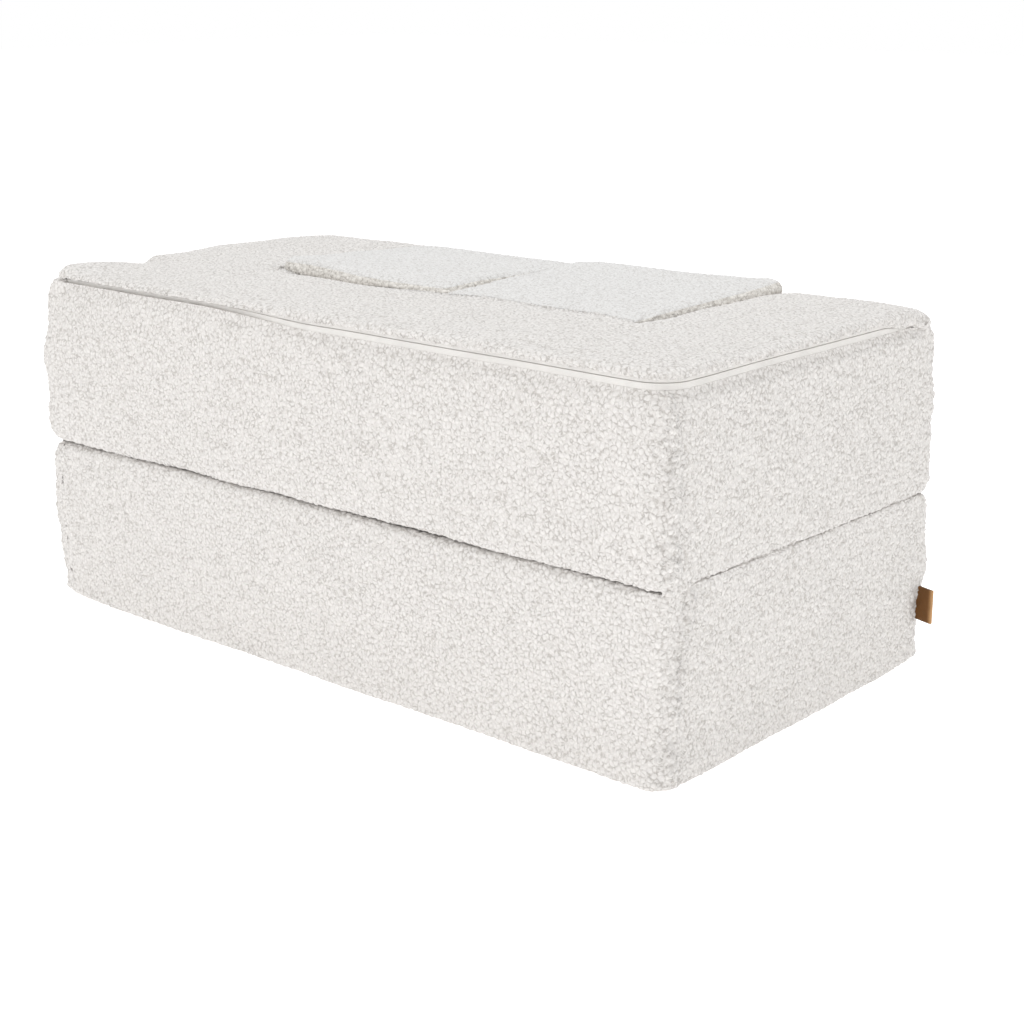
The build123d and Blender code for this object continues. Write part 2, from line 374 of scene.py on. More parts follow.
def makeTagLeather(dark, tan, foldFrom, foldTo):
    leather, tree, shader = newMaterial("tagLeather", 0.6, 0.25)
    tone = mathsOf(tree, "MULTIPLY", addSpots(tree, 90.0, 4.0, 0.86, 1.1),
                   addSpots(tree, 900.0, 3.0, 0.93, 1.05))
    # rubbed light at the fold
    place = placeOf(tree)
    east = addNode(tree, "ShaderNodeSeparateXYZ", {0: place}).outputs["X"]
    rubbed = mapped(tree, east, foldFrom, foldTo, ease="SMOOTHSTEP")
    hide = addNode(tree, "ShaderNodeMix", {"Factor": rubbed, "A": dark, "B": tan}, data_type="RGBA")
    feed(tree, shader, {"Base Color": scaleOf(tree, hide.outputs["Result"], tone),
                        "Roughness": addSpots(tree, 250.0, 3.0, 0.45, 0.7)})
    addBump(tree, shader, cellsOf(tree, place, 1100.0, "DISTANCE_TO_EDGE"), 0.5, 0.25 * mm)
    return leather


undersideCloth = makeWovenCloth("undersideCloth", (0.72, 0.69, 0.64), 1.4 * mm, 0.3 * mm)
zipTapeWeave = makeWovenCloth("zipTapeWeave", (0.735, 0.715, 0.69), 0.6 * mm, 0.12 * mm)
zipCoilNylon = makePlastic("zipCoilNylon", (0.62, 0.59, 0.55), 0.45, 0.4, 900.0)
sliderLacquer = makePlastic("sliderLacquer", (0.64, 0.615, 0.58), 0.35, 0.5, 500.0)
foamCells = makeFoamCells((0.85, 0.80, 0.66))
tagLeather = makeTagLeather((0.150, 0.064, 0.017, 1), (0.48, 0.27, 0.12, 1), 0.4360, 0.4425)
print("other finishes ready")


# Covered foam blocks: a shell of grid cells, rounded, swollen and pinched at its seams

def gridLines(low, high, step, breaks=()):
    marks = [low, *sorted(breaks), high]
    spans = [np.linspace(a, b, max(2, round((b - a) / step) + 1))[:-1]
             for a, b in zip(marks, marks[1:])]
    return np.concatenate(spans + [[high]])


def gridOf(low, high, step, breaks=((), (), ())):
    return [gridLines(low[a], high[a], step, breaks[a]) for a in range(3)]


waysOut = {"left": (0, 0), "right": (0, 1), "rear": (1, 0), "front": (1, 1), "under": (2, 0), "top": (2, 1)}


def shellOf(lines, solid=None):
    # the outside of the solid cells: sharp points, quads, and the way that each quad looks
    if solid is None:
        solid = np.ones([len(line) - 1 for line in lines], bool)
    padded = np.pad(solid, 1)
    rings, ways = [], []
    for way, (axis, side) in waysOut.items():
        beyond = np.roll(padded, 1 - 2 * side, axis)[1:-1, 1:-1, 1:-1]
        cells = np.argwhere(solid & ~beyond)
        around = [(0, 0), (1, 0), (1, 1), (0, 1)][::1 if side else -1]
        ring = np.repeat(cells[:, None, :], 4, 1)
        ring[:, :, axis] += side
        for k, (second, third) in enumerate(around):
            ring[:, k, (axis + 1) % 3] += second
            ring[:, k, (axis + 2) % 3] += third
        rings.append(ring)
        ways.append(np.full(len(cells), way))
    ring = np.concatenate(rings)
    counts = [len(line) for line in lines]
    keys = (ring[..., 0] * counts[1] + ring[..., 1]) * counts[2] + ring[..., 2]
    used, quads = np.unique(keys, return_inverse=True)
    index = np.stack(np.unravel_index(used, counts), 1)
    points = np.stack([lines[a][index[:, a]] for a in range(3)], 1)
    return points, quads.reshape(-1, 4), np.concatenate(ways)


def roundedTo(points, boxes, cornerRound, edgeRound, tiny=1e-9):
    # cornerRound is for the upright corners seen from above, edgeRound for the level edges
    plan = points[:, :2]
    wide = np.maximum(cornerRound, edgeRound)[:, None]
    best, core = np.full(len(points), np.inf), plan.copy()
    for low, high in boxes:
        inside = np.clip(plan, low[:2] + wide, high[:2] - wide)
        gap = np.linalg.norm(plan - inside, axis=1)
        nearer = gap < best - tiny
        best[nearer], core[nearer] = gap[nearer], inside[nearer]
    away = plan - core
    squared = np.abs(away).max(1)
    way = away / np.maximum(best, tiny)[:, None]
    bottom, top = boxes[0][0][2] + edgeRound, boxes[0][1][2] - edgeRound
    near = np.column_stack([core + way * np.minimum(squared, wide[:, 0] - edgeRound)[:, None],
                            np.clip(points[:, 2], bottom, top)])
    outward = np.column_stack([core + way * squared[:, None], points[:, 2]]) - near
    outward /= np.linalg.norm(outward, axis=1)[:, None]
    return near + outward * edgeRound[:, None], outward


def lumps(points, wave, seed, count=14):
    # a soft, even unevenness between about -1 and 1
    dice = np.random.default_rng(seed)
    total = np.zeros(len(points))
    for _ in range(count):
        way = dice.normal(size=3)
        way *= 2 * math.pi / wave / np.linalg.norm(way) * dice.uniform(0.6, 1.6)
        total += np.sin(points @ way + dice.uniform(0, 2 * math.pi))
    return total / math.sqrt(count)


def smooth(value, low, high):
    share = np.clip((value - low) / (high - low), 0, 1)
    return share * share * (3 - 2 * share)


def fade(value, low, high):
    return 1 - smooth(value, low, high)


def bell(value, width):
    return np.exp(-(value / width) ** 2)


def hill(size, distance):
    # size: its height and its width
    return size[0] * bell(distance, size[1])


def mix(low, high, share):
    return low + (high - low) * share


def boxOf(prefix):
    boxes = [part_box(name) for name in frame["nodes"] if name.startswith(prefix)]
    return (np.array([min(low[a] for low, high in boxes) for a in range(3)]),
            np.array([max(high[a] for low, high in boxes) for a in range(3)]))


def meshFrom(name, points, faces):
    mesh = bpy.data.meshes.new(name)
    mesh.from_pydata(points.tolist(), [], faces.tolist())
    mesh.shade_smooth()
    return mesh


def liftCurls(points, quads, gain=None):
    # the points after the curls have pushed them out, further where gain is above one
    sleeve = addPiece("sleeve", meshFrom("sleeve", points, quads))
    sleeve.modifiers.new("curls", "NODES").node_group = curlLift
    raised = sleeve.evaluated_get(bpy.context.evaluated_depsgraph_get()).data
    lifted = np.empty(len(points) * 3, np.float32)
    raised.vertices.foreach_get("co", lifted)
    bpy.data.objects.remove(sleeve)
    lift = lifted.reshape(-1, 3) - points
    return points + lift * (1 if gain is None else gain[:, None])


def cutPanel(points, quads, outward, hem):
    # one panel of a sleeve, with its edge turned in by a hem
    used, faces = np.unique(quads, return_inverse=True)
    faces = faces.reshape(-1, 4)
    edges = np.concatenate([faces[:, [k, (k + 1) % 4]] for k in range(4)])
    ordered = np.sort(edges, axis=1)
    _, first, uses = np.unique(ordered[:, 0] * len(used) + ordered[:, 1],
                               return_index=True, return_counts=True)
    rim = edges[first[uses == 1]]
    rimPoints, place = np.unique(rim, return_inverse=True)
    place = place.reshape(-1, 2) + len(used)
    turned = points[used][rimPoints] - outward[used][rimPoints] * hem
    hemFaces = np.stack([rim[:, 1], rim[:, 0], place[:, 0], place[:, 1]], 1)
    return np.concatenate([points[used], turned]), np.concatenate([faces, hemFaces]), rim


def sharpenRim(mesh, rim):
    ends = np.empty(len(mesh.edges) * 2, np.int32)
    mesh.edges.foreach_get("vertices", ends)
    count = len(mesh.vertices)
    keys = np.sort(ends.reshape(-1, 2), axis=1) @ (count, 1)
    onRim = np.isin(keys, np.sort(rim, axis=1) @ (count, 1))
    mesh.attributes.new("sharp_edge", "BOOLEAN", "EDGE").data.foreach_set("value", onRim)


def addPanels(points, quads, outward, panels, body, material,
              hem=None):
    # panels: the quads of each CAD node's panel, which becomes a piece of its own
    for node, chosen in panels.items():
        shape, panelFaces, rim = cutPanel(points, quads[chosen], outward, hem or coverLook["hem"])
        piece = addPiece(node + "Cloth", meshFrom(node, shape, panelFaces), material)
        sharpenRim(piece.data, rim)
        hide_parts(node)
        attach(piece, body)
        if node in coverLook["pressed"]:
            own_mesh(piece)


def distanceTo(points, places):
    return np.min([np.hypot(points[:, 0] - x, points[:, 1] - y) for x, y in places], axis=0)


def segmentShare(points, start, end):
    # how far each point is from a segment in plan, and how far along it that is
    start, along = np.array(start), np.subtract(end, start)
    share = np.clip((points[:, :2] - start) @ along / (along @ along), 0, 1)
    return np.linalg.norm(points[:, :2] - start - share[:, None] * along, axis=1), share


def addSeams(points, outward, sharp, near, others, top, look):
    # pinched points, their unevenness, and how much further than elsewhere the curls stand out
    x, y, z = sharp.T
    # the near seam wanders on to the right-hand face
    toNear = np.hypot(x - near[0], y - near[1] - np.interp(z, *zip(*look["seamPath"])))
    toOthers = distanceTo(sharp, others)
    toSeam = np.minimum(toNear, toOthers)
    fadeLow, fadeHigh = look["seamFades"]
    upright = smooth(z - z.min(), 0, fadeLow) * fade(z - top, -fadeHigh, 0)
    # two soft ridges with the stitched crease between them, and a shallow valley on both sides
    ridge = 1 + coverLook["ridgeUneven"] * lumps(sharp, coverLook["ridgeWave"], look["seamSeed"])
    pinch = hill(coverLook["ridge"], toSeam) * ridge - hill(coverLook["stitch"], toSeam)
    pinch -= hill(coverLook["valley"], toSeam - coverLook["valleyAt"])
    points = points + outward * (pinch * upright)[:, None]
    uneven = outward * (coverLook["unevenness"] * lumps(sharp, coverLook["wave"], look["seed"]))[:, None]
    gain = 1 + upright * (hill(coverLook["seamGain"], toNear) + hill(coverLook["otherGain"], toOthers))
    return points, uneven, gain


def gapRounds(x, end):
    # the gap's edge is sharper along the hinge
    return mix(coverLook["gapRound"], coverLook["hingeRound"], smooth(x - end, *coverLook["hingeSpan"]))


def cornersOf(low, high):
    # near, left-hand near, far and left-hand far
    return (high[0], low[1]), (low[0], low[1]), (high[0], high[1]), (low[0], high[1])


def cornerRounds(sharp, places):
    # an upright corner has the far one's radius unless it is among the places
    radius = np.full(len(sharp), coverLook["farRound"])
    for place, own in places:
        radius = np.where(distanceTo(sharp, [place]) < coverLook["cornerReach"], own, radius)
    return radius


def drawnToGap(share):
    # the sides draw in by the gap: share is the height away from it, of the block's height
    return 1 - coverLook["gapDraw"] * np.exp(-share / coverLook["gapDrawReach"])


# Seams and unevenness that all the covers share

coverLook = {
    "step": 2.2 * mm,
    "unevenness": 0.8 * mm,
    "wave": 130 * mm,  # of the unevenness
    "gapRound": 7 * mm,
    "hingeRound": 3 * mm,  # the gap's edge along the hinge
    "hingeSpan": (-40 * mm, -10 * mm),  # from the right-hand end
    "hingeShare": 0.25,  # how far the sides stand out there, where the blocks fold together
    "edgeRound": 9 * mm,
    "farRound": 8 * mm,
    "leftSpan": (0.25, 0.42),  # towards the left-hand end the sides stand out more
    "cornerReach": 60 * mm,
    "gapDraw": 0.5,
    "gapDrawReach": 0.08,
    "ridge": (3.2 * mm, 5.5 * mm),  # the pinched upright seams: height and width
    "ridgeUneven": 0.5,
    "ridgeWave": 40 * mm,
    "stitch": (0.8 * mm, 1.8 * mm),
    "valley": (0.3 * mm, 6 * mm),
    "valleyAt": 16 * mm,
    "seamGain": (1.2, 12 * mm),  # curls stand out more along the near seam, a little along the others
    "otherGain": (0.25, 12 * mm),
    "topGain": 0.5,  # and less on the tops
    "topSpan": (0.5, 0.95),
    "hem": 6 * mm,
    "pressed": ("base_cover_right_panel", "surround_cover_right_panel"),  # they meet when unfolded
    "pressedTo": 0.4165,
}


# Surround: the U of back and arms

surroundLook = {
    "levels": (0, 0.3, 0.6, 0.9),  # up to the gap's round, and from the top's
    "nearRound": 16 * mm,  # upright corners: near, its lip, left-hand near, its lip, the far one's lip
    "nearLipRound": 36 * mm,
    "leftRound": 14 * mm,
    "lipRound": 22 * mm,
    "farLipRound": 17 * mm,
    "farReach": 40 * mm,
    "lipSpan": (-10 * mm, 4 * mm),  # from the zip's level
    "nearLipSpan": (-24 * mm, -4 * mm),
    "cavityRound": 4 * mm,
    "cavityFade": (4 * mm, 20 * mm),
    "lipInset": 8 * mm,
    "insetReach": 40 * mm,
    "insetRear": (20 * mm, 90 * mm),
    "crown": 3 * mm,
    "crownReach": 42 * mm,
    "puff": 5 * mm,  # how far the sides stand out
    "leftPuff": 5.5 * mm,
    "bellySpan": (0.55, 1.05),
    "liningInset": 1.6 * mm,  # room for the curls of the inserts
    "creaseFrom": (-0.240, -0.045),
    "creaseTo": (-0.219, -0.180),
    "crease": (2.2 * mm, 3.5 * mm),
    "dent": (-0.150, -0.100, -0.092, -0.074),  # along the left-hand end's top edge
    "dentDepth": 8 * mm,
    "leftReach": 50 * mm,
    "lipRise": (3 * mm, 40 * mm),
    "lipRiseAt": -0.175,
    "frontDrop": 6 * mm,  # the top falls off towards the open front
    "frontReach": 55 * mm,
    "rearSpan": (4 * mm, 40 * mm),  # the zip's side reaches this far from the near face
    "tapeEndCover": 12 * mm,  # cloth over the zip's left-hand end
    "tapeShown": 3.6 * mm,  # of the upper tape
    "slit": 0.4 * mm,  # between the tapes, each way
    "coilDepth": 1.6 * mm,
    "coilRise": 0.65,  # of that, along most of the left-hand half
    "coilSpan": (-0.38, -0.32),
    "zipDip": 5.0 * mm,  # the tapes lie this deep, and the cloth dips to them
    "tapeSink": (0.3 * mm, 1 * mm, 1.5 * mm),  # under the cloth: everywhere, at the left, by the stop
    "stopSpan": (-5 * mm, 3 * mm),
    "dipBelow": 9 * mm,
    "lipDip": 2.8 * mm,
    "dipAbove": 3.5 * mm,
    "leftLess": (0.35, 0.7),  # of the cloth's dip and of the lip's at the left-hand end
    "endLess": 0.6,
    "startSpan": (-8 * mm, 8 * mm),
    "tailSpan": (-2 * mm, 8 * mm),
    "endFade": 14 * mm,
    "lipGain": (0.9, 4 * mm),
    "zipCalm": (0.8, 5 * mm),
    "closeLeft": (-0.16, 0.0),  # towards the left-hand end the covers close over the tapes
    "leftShift": (6.5 * mm, 4.2 * mm, 2.3 * mm),  # of the lower edge, the slit and the upper edge
    "closeEnd": (0.125, 0.152),  # and at the other end the lip covers the slider's upper half
    "endShift": (0, -2.6 * mm, -5.4 * mm),
    "tail": 24 * mm,  # past the tapes the slit hooks down
    "tailShift": (-1.5 * mm, -4.4 * mm, -4.6 * mm),
    "shiftBelow": 16 * mm,
    "shiftAbove": 5 * mm,
    "notch": (4 * mm, 3 * mm),  # pits past both ends
    "pastSpan": (-4 * mm, 8 * mm),
    "pastRear": (30 * mm, 80 * mm),
    "leftTopRise": (2.5 * mm, 45 * mm),
    "farLeftDrop": (4 * mm, 70 * mm),
    "rightArmDrop": (3.5 * mm, 22 * mm),  # beside the right-hand insert
    "rightArmFrom": 0.20,
    "rimAt": (-0.26, -0.242, -0.215, -0.19, -0.147, -0.105, -0.063, -0.02, 0.0, 0.05),
    "rimDrop": (0, 0, 5.5 * mm, 9.5 * mm, 9 * mm, 8 * mm, 6.5 * mm, 4 * mm, 3.5 * mm, 0),
    "rimReach": 36 * mm,  # the back's edge sinks under the left-hand insert
    "rimSpan": (-45 * mm, -5 * mm),
    "seamPath": ((0.18, 0.012), (0.30, 0.010), (0.36, 0.004)),
    "seamFades": (14 * mm, 12 * mm),
    "seamSeed": 3,
    "seed": 5,
}


def dressSurround(look):
    low, high = boxOf("surround_cover_")
    high[2] -= look["crown"]
    armFoam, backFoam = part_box("surround_foam_left_arm"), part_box("surround_foam_back")
    foamInset = high[1] - armFoam[1][1]
    cavityBack, cavitySide = backFoam[1][1] + foamInset, -armFoam[1][0] - foamInset
    tapeLow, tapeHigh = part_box("surround_zip_lower_tape")
    zipLow, zipStop = tapeLow[2], tapeHigh[1]
    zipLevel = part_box("surround_cover_rear_panel")[1][2]
    zipHigh = zipLevel + look["tapeShown"]
    zipStart, zipEnd = tapeLow[0] + look["tapeEndCover"], zipStop + look["tail"]
    slit, step = look["slit"], coverLook["step"]
    lines = gridOf(low, high, step, ((zipStart, -cavitySide, cavitySide), (cavityBack, zipEnd),
                                     (zipLow, zipLevel - slit, zipLevel, zipLevel + slit, zipHigh)))
    middles = [(line[1:] + line[:-1]) / 2 for line in lines]
    inCavity = (np.abs(middles[0])[:, None] < cavitySide) & (middles[1][None, :] > cavityBack)
    sharp, quads, ways = shellOf(lines, np.repeat(~inCavity[:, :, None], len(middles[2]), 2))
    x, y, z = sharp.T
    midX, midY, midZ = sharp[quads].mean(1).T
    fromZip, fromRear = z - zipLevel, y - low[1]
    above, below = np.clip(z - zipHigh, 0, None), np.clip(zipLow - z, 0, None)

    # radii, which differ from corner to corner
    near, left, far, farLeft = cornersOf(low, high)
    edgeRound, farRound = coverLook["edgeRound"], coverLook["farRound"]
    topRound = mix(edgeRound, look["farLipRound"], bell(distanceTo(sharp, [far]), look["farReach"]))
    toCavity = np.hypot(np.clip(np.abs(x) - cavitySide, 0, None), np.clip(cavityBack - y, 0, None))
    byCavity = fade(toCavity, *look["cavityFade"])
    topRound = mix(topRound, look["cavityRound"], byCavity)
    share, levels = (z - low[2]) / (high[2] - low[2]), look["levels"]
    edge = (np.interp(share, levels, (0, 1, 1, 0)) * edgeRound
            + np.interp(share, levels[:2], (1, 0)) * gapRounds(x, high[0])
            + np.interp(share, levels[2:], (0, 1)) * topRound)
    lip, nearLip = smooth(fromZip, *look["lipSpan"]), smooth(fromZip, *look["nearLipSpan"])
    corner = cornerRounds(sharp, ((far, mix(farRound, look["farLipRound"], lip)),
                                  (near, mix(look["nearRound"], look["nearLipRound"], nearLip)),
                                  (left, mix(look["leftRound"], look["lipRound"], lip))))
    boxes = [(low, np.array([high[0], cavityBack, high[2]])),
             (low, np.array([-cavitySide, high[1], high[2]])),
             (np.array([cavitySide, low[1], low[2]]), high)]
    points, outward = roundedTo(sharp, boxes, corner, edge)

    # sides stand out, most at the left-hand end, and dip to the zip
    rise = np.clip((z - low[2]) / (zipLevel - low[2]), 0, 1)
    inside = (np.abs(x) < cavitySide + step) & (y > cavityBack - step)
    puff = look["puff"] + look["leftPuff"] * smooth(-x, *coverLook["leftSpan"])
    puff *= drawnToGap(rise) * fade(rise, *look["bellySpan"])
    onZipSide = np.maximum(fade(fromRear, *look["rearSpan"]), x > high[0] - step)
    toLeft = fade(x, *look["closeLeft"])
    pastEnd = fade(y - zipEnd, 0, look["endFade"])
    toEnd = smooth(y, *look["closeEnd"]) * pastEnd
    tail = smooth(y, zipStop, zipEnd) * pastEnd
    alongZip = smooth(x - zipStart, *look["startSpan"]) * onZipSide
    alongZip *= fade(y - zipEnd, *look["tailSpan"])
    # three lines of the zip shift up or down, and the cloth by them less and less
    lower, middle, upper = [a * toLeft + b * toEnd + c * tail
                            for a, b, c in zip(look["leftShift"], look["endShift"], look["tailShift"])]
    toSlit = np.clip((z - zipLow) / (zipLevel - zipLow), 0, 1)
    fromSlit = np.clip(fromZip / look["tapeShown"], 0, 1)
    shift = lower * (1 - toSlit) + middle * (toSlit - fromSlit) + upper * fromSlit
    shift *= bell(below, look["shiftBelow"]) * bell(above, look["shiftAbove"])
    points[:, 2] += shift * onZipSide
    tape = points.copy()
    deep = look["zipDip"] * (1 - look["leftLess"][0] * toLeft)
    lipDeep = look["lipDip"] * (1 - look["leftLess"][1] * toLeft) * (1 - look["endLess"] * toEnd)
    sink, leftSink, stopSink = look["tapeSink"]
    tapeDeep = look["zipDip"] + sink + leftSink * toLeft + stopSink * smooth(y - zipStop, *look["stopSpan"])
    tape[:, :2] -= outward[:, :2] * tapeDeep[:, None]
    nearBand = alongZip * bell(above, look["dipAbove"]) * bell(below, look["dipBelow"])
    across = np.clip((z - zipLow) / (zipHigh - zipLow), 0, 1)
    puff = mix(puff, -mix(deep, lipDeep, across), nearBand)
    puff -= hill(look["notch"], np.hypot(y - zipEnd, fromZip) + (x < high[0] - step))
    pastZip = fade(x - zipStart, *look["pastSpan"]) * fade(fromRear, *look["pastRear"])
    puff -= pastZip * hill(look["notch"], fromZip)
    puff[inside & (y < high[1] - step)] = -look["liningInset"]
    toHinge = (outward[:, 0] > 0) & (x > cavitySide + step) & (puff > 0)
    points[:, 0] += outward[:, 0] * puff * np.where(toHinge, coverLook["hingeShare"], 1)
    points[:, 1] += outward[:, 1] * puff
    insetLeft, insetRear = fade(x - low[0], 0, look["insetReach"]), fade(fromRear, *look["insetRear"])
    points[:, 0] += look["lipInset"] * lip * insetLeft * insetRear

    # crowned top, with the crease by the cavity and the dent in the left-hand edge
    toEdge = np.minimum.reduce([x - low[0], high[0] - x, fromRear, high[1] - y])
    toBrink = np.where(toCavity > 0, np.minimum(toEdge, toCavity + toEdge * inside), 0)
    crown = look["crown"] * smooth(toBrink, 0, look["crownReach"])
    crown -= look["frontDrop"] * fade(high[1] - y, 0, look["frontReach"])
    atLeft = bell(x - low[0], look["leftReach"])
    dentFrom, dentFull, dentTo, dentEnd = look["dent"]
    crown -= look["dentDepth"] * atLeft * smooth(y, dentFrom, dentFull) * fade(y, dentTo, dentEnd)
    crown += atLeft * hill(look["lipRise"], y - look["lipRiseAt"])
    crown += hill(look["leftTopRise"], distanceTo(sharp, [left]))
    crown -= hill(look["farLeftDrop"], distanceTo(sharp, [farLeft]))
    crown -= hill(look["rightArmDrop"], toCavity) * smooth(x, look["rightArmFrom"], cavitySide)
    rimDrop = np.interp(x, look["rimAt"], look["rimDrop"]) * fade(cavityBack - y, 0, look["rimReach"])
    crown -= rimDrop * (y < cavityBack + step)
    away, along = segmentShare(sharp, look["creaseFrom"], look["creaseTo"])
    crown -= hill(look["crease"], away) * (1 - along ** 2)
    # where the top sinks beside the cavity, its rim sinks too
    rim = byCavity * smooth(z - high[2], *look["rimSpan"]) * (crown < 0)
    points[:, 2] += crown * np.maximum(np.clip(outward[:, 2], 0, 1), rim)

    others = [left, farLeft, far, (-cavitySide, high[1]), (cavitySide, high[1])]
    points, uneven, gain = addSeams(points, outward, sharp, near, others, zipLow, look)
    points, tape = points + uneven, tape + uneven
    gain *= 1 - alongZip * hill(look["zipCalm"], zipLow - z)
    gain *= 1 + onZipSide * hill(look["lipGain"], z - zipHigh)
    gain *= mix(1, coverLook["topGain"], smooth(outward[:, 2], *coverLook["topSpan"]))
    points = liftCurls(points, quads, gain)
    points[:, 2] = np.maximum(points[:, 2], low[2])

    top, under = midZ > zipLevel, ways == "under"
    onZip = (ways == "rear") | ((ways == "right") & (midY < zipEnd) & (midX > cavitySide + step))
    zipGap = onZip & (midZ > zipLow) & (midZ < zipHigh) & (midX > zipStart)
    lined = np.isin(ways, ("left", "right", "front")) & ~top & (
        np.abs(midX) < cavitySide + step / 4) & (midY > cavityBack - step / 4)
    sides = ~top & ~zipGap & ~lined & ~under
    front = sides & (ways == "front")
    addPanels(points, quads, outward, {
        "surround_cover_top_panel": top & ~zipGap,
        "surround_cover_bottom_panel": under,
        "surround_cover_cavity_lining": lined,
        "surround_cover_rear_panel": sides & (ways == "rear"),
        "surround_cover_left_panel": sides & (ways == "left"),
        "surround_cover_right_panel": sides & (ways == "right"),
        "surround_cover_left_arm_front": front & (midX < 0),
        "surround_cover_right_arm_front": front & (midX > 0),
    }, "surround", coverBoucle)
    inSlit = np.abs(midZ - zipLevel) < slit
    along = (high[0] - zipStart) + (zipEnd - low[1])
    addPanels(tape, quads, outward, {
        "surround_zip_upper_tape": zipGap & top & ~inSlit,
        "surround_zip_lower_tape": zipGap & ~top & ~inSlit,
    }, "surround", zipTapeWeave)
    coilDeep = look["coilDepth"] * (1 - look["coilRise"] * toLeft * smooth(x, *look["coilSpan"]))
    addPanels(tape - outward * coilDeep[:, None], quads, outward, {"surround_zip_coil": zipGap & inSlit},
              "surround", zipCoilNylon, hem=1 * mm)


dressSurround(surroundLook)
print("surround dressed")


# Seat base: the lower block

baseLook = {
    "levels": (0.15, 0.4, 0.7, 1),  # up to the floor's round, and from the gap's
    "floorRound": 2.5 * mm,
    "softRound": 13 * mm,  # floor edge at the left-hand near and the right-hand far corner
    "softReach": 45 * mm,
    "nearRound": 15 * mm,
    "leftRound": 13 * mm,
    "puff": 4.5 * mm,
    "leftPuff": 3 * mm,
    "floorPuff": 0.7,  # of that at the floor
    "floorPuffTo": 0.6,
    "leftRise": (0.1, 0.6),
    "footBulge": (5.5 * mm, 200 * mm),  # the cloth stands out at the floor by the near corner
    "footHeight": 50 * mm,
    "seamPath": ((0.0, 0.010), (0.08, 0.016), (0.13, 0.025), (0.165, 0.040), (0.18, 0.030)),
    "seamFades": (10 * mm, 14 * mm),
    "seamSeed": 7,
    "seed": 9,
    "foldFrom": (0.214, 0.130),  # along the right-hand end: how far along it, and how high
    "foldTo": (0.120, 0.055),
    "fold": (2.2 * mm, 9 * mm),
    "foldBanks": (1.32 * mm, 19.8 * mm),
}


def dressBase(look):
    low, high = boxOf("base_cover_")
    outer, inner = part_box("base_zip_outer_tape"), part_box("base_zip_inner_tape")
    tapeWidth = outer[1][0] - inner[1][0]
    zipOut, zipIn = outer[1][0], inner[1][0] - tapeWidth
    zipRearOut, zipRearIn = outer[0][1], inner[0][1] + tapeWidth
    zipStart, zipEnd = outer[0][0], outer[1][1]
    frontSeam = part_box("base_cover_bottom_panel")[1][1]
    step = coverLook["step"]
    sharp, quads, ways = shellOf(gridOf(low, high, step, (
        (-zipOut, zipStart, zipIn, zipOut), (zipRearOut, zipRearIn, zipEnd, frontSeam), ())))
    x, y, z = sharp.T
    midX, midY, _ = sharp[quads].mean(1).T
    near, left, far, farLeft = cornersOf(low, high)
    share = (z - low[2]) / (high[2] - low[2])
    floorRound = mix(look["floorRound"], look["softRound"],
                     bell(distanceTo(sharp, [left, far]), look["softReach"]))
    edge = mix(np.where(share < 0.5, floorRound, gapRounds(x, high[0])), coverLook["edgeRound"],
               np.interp(share, look["levels"], (0, 1, 1, 0)))
    corner = cornerRounds(sharp, ((near, look["nearRound"]), (left, look["leftRound"])))
    points, outward = roundedTo(sharp, [(low, high)], corner, edge)
    toLeft = smooth(-x, *coverLook["leftSpan"]) * smooth(share, *look["leftRise"])
    puff = look["puff"] + look["leftPuff"] * toLeft
    puff *= mix(look["floorPuff"], 1, smooth(share, 0, look["floorPuffTo"])) * drawnToGap(1 - share)
    points[:, 0] += outward[:, 0] * puff * np.where(outward[:, 0] > 0, coverLook["hingeShare"], 1)
    points[:, 1] += outward[:, 1] * puff
    foot = hill(look["footBulge"], distanceTo(sharp, [near])) * fade(z, 0, look["footHeight"])
    points[:, :2] += outward[:, :2] * foot[:, None]
    away, along = segmentShare(sharp[:, [1, 2]], look["foldFrom"], look["foldTo"])
    fold = (hill(look["fold"], away) - hill(look["foldBanks"], away)) * (1 - along ** 3)
    points[:, 0] -= outward[:, 0] * fold * (x > high[0] - step)
    points, uneven, gain = addSeams(points, outward, sharp, near, (left, farLeft, far), high[2], look)
    points = liftCurls(points + uneven, quads, gain)
    points[:, 2] = np.clip(points[:, 2], low[2], high[2])

    under = ways == "under"
    zipGap = (midX > zipStart) & (midY < zipRearIn) | (midX > zipIn) & (midY < zipEnd)
    zipGap &= under & (midX < zipOut) & (midY > zipRearOut)
    inPanel = under & ~zipGap & (np.abs(midX) < zipOut) & (midY > zipRearOut) & (midY < frontSeam)
    turned = under & ~inPanel & ~zipGap
    nearEnd = turned & (high[0] - np.abs(midX) < np.minimum(midY - low[1], high[1] - midY))
    turned &= ~nearEnd
    addPanels(points, quads, outward, {
        "base_cover_top_panel": ways == "top",
        "base_cover_rear_panel": (ways == "rear") | (turned & (midY < 0)),
        "base_cover_front_panel": (ways == "front") | (turned & (midY > 0)),
        "base_cover_left_panel": (ways == "left") | (nearEnd & (midX < 0)),
        "base_cover_right_panel": (ways == "right") | (nearEnd & (midX > 0)),
    }, "base", coverBoucle)
    addPanels(points, quads, outward, {"base_cover_bottom_panel": inPanel}, "base", undersideCloth)


# Seat inserts, which lean a little in the cavity

